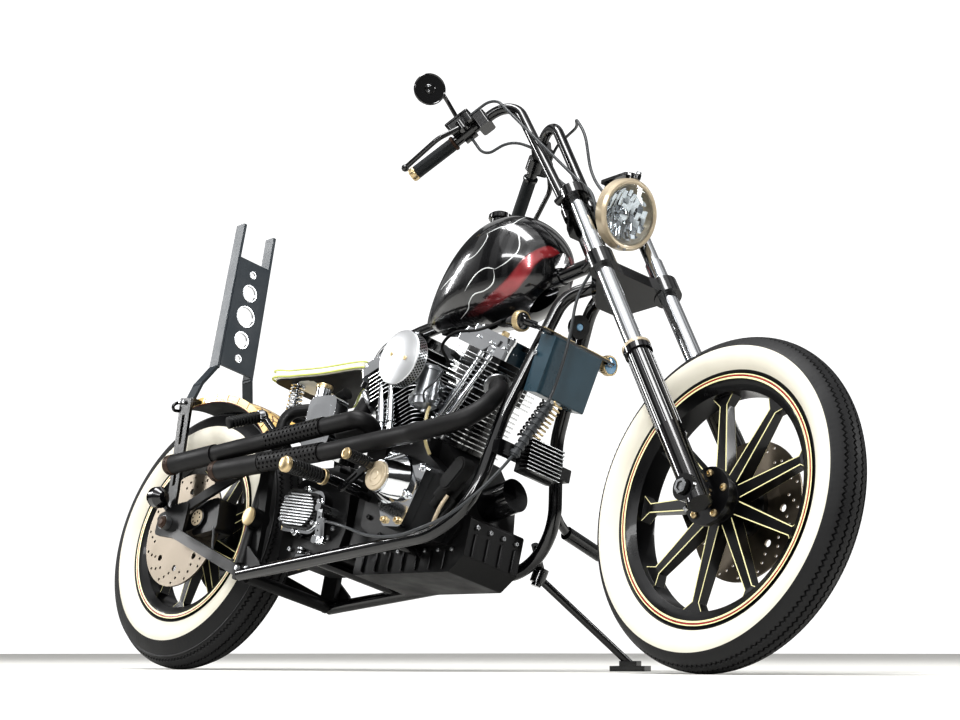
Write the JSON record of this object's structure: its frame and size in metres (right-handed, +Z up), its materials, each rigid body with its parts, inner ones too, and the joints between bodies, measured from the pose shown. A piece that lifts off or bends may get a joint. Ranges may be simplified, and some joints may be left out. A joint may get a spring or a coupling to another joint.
{
  "type": "chopper motorcycle",
  "caption": "Chopper-style motorcycle on its side stand: V-twin engine, raked fork with pull-back handlebar, staggered exhausts, solo seat, tall sissy bar and whitewall tyres.",
  "frame": {"origin": "on the floor where the rear tyre touches it", "axes": "+X forward along the motorcycle, +Y to the rider's left, +Z up; parked, leaning to its left on the side stand"},
  "size_m": [2.3911, 0.7523, 1.3559],
  "materials": {
    "aluminium": "cast aluminium",
    "belt_rubber": "black toothed belt",
    "black_casting": "satin black paint over castings",
    "black_gloss": "gloss black",
    "cable_rubber": "grey and black cable covers",
    "chrome": "polished chrome",
    "disc_steel": "turned stainless steel with a tan cast",
    "exhaust_black": "matt black heat-proof paint",
    "fender_paint": "gloss cream with flame pinstripes",
    "frame_black": "gloss black frame paint",
    "grip_rubber": "dark rubber with gold-coloured end caps",
    "lamp_glass": "clear faceted lens",
    "seat_leather": "white leather with yellow-green piping",
    "steel": "bare turned steel",
    "tan_bezel": "satin beige bezel",
    "tank_paint": "gloss black metallic flake with flame outlines and a red sweep",
    "tyre": "sawtooth-ribbed road tyre with a cream whitewall"
  },
  "bodies": {
    "frame": {"air_cleaner": "chrome", "backbone": "frame_black", "cam_cover": "chrome", "carburettor": "aluminium", "clutch_cable": "cable_rubber", "clutch_linkage": "chrome", "cradle_tubes": "frame_black", "crankcase": "black_casting", "cylinders": "black_casting", "drive_belt": "belt_rubber", "electrics_box": "black_gloss", "exhaust_pipes": "exhaust_black", "fender_struts": "frame_black", "foot_controls": "frame_black", "fuel_cap": "black_gloss", "fuel_tank": "tank_paint", "heat_shields": "exhaust_black", "horn": "black_gloss", "ignition_coil": "black_gloss", "oil_filter": "black_gloss", "oil_tank": "chrome", "passenger_pegs": "frame_black", "primary_cover": "chrome", "pushrod_tubes": "chrome", "rear_axle": "steel", "rear_caliper": "black_casting", "rear_fender": "fender_paint", "rear_frame": "frame_black", "regulator": "black_casting", "rocker_boxes": "chrome", "seat": "seat_leather", "seat_springs": "chrome", "sissy_bar": "frame_black", "stand_bracket": "frame_black", "transmission": "black_casting", "turn_signals": "black_gloss"},
    "steered_front_end": {"triple_clamps": "black_gloss", "fork_tubes": "chrome", "fork_sliders": "black_gloss", "front_axle": "steel", "front_caliper": "black_casting", "handlebar": "black_gloss", "grips": "grip_rubber", "hand_controls": "black_gloss", "control_cables": "cable_rubber", "mirror": "black_gloss", "headlamp": "tan_bezel", "headlamp_lens": "lamp_glass"},
    "front_wheel_unit": {"front_tyre": "tyre", "front_wheel": "black_casting", "front_disc": "disc_steel"},
    "rear_wheel_unit": {"rear_tyre": "tyre", "rear_wheel": "black_casting", "rear_disc": "disc_steel", "rear_pulley": "black_casting"},
    "stand_leg": {"side_stand": "frame_black"}
  },
  "joints": [
    {"name": "steering", "type": "hinge", "parent": "frame", "child": "steered_front_end", "pos_m": [1.26612, 0.21435, 0.83081], "axis": [-0.5887, 0.2166, 0.7788], "range_deg": [-30.86, 39.14]},
    {"name": "front_wheel_spin", "type": "hinge", "parent": "steered_front_end", "child": "front_wheel_unit", "pos_m": [1.71556, 0.0721, 0.33562], "axis": [0.0587, 0.9723, -0.2261], "continuous": true},
    {"name": "rear_wheel_spin", "type": "hinge", "parent": "frame", "child": "rear_wheel_unit", "pos_m": [-0.0003, 0.07363, 0.32296], "axis": [0.0003, 0.9635, -0.2677], "continuous": true},
    {"name": "side_stand_fold", "type": "hinge", "parent": "frame", "child": "stand_leg", "pos_m": [1.02983, 0.22366, 0.20667], "axis": [0.1489, 0.322, 0.9349], "range_deg": [0, 116]}
  ]
}
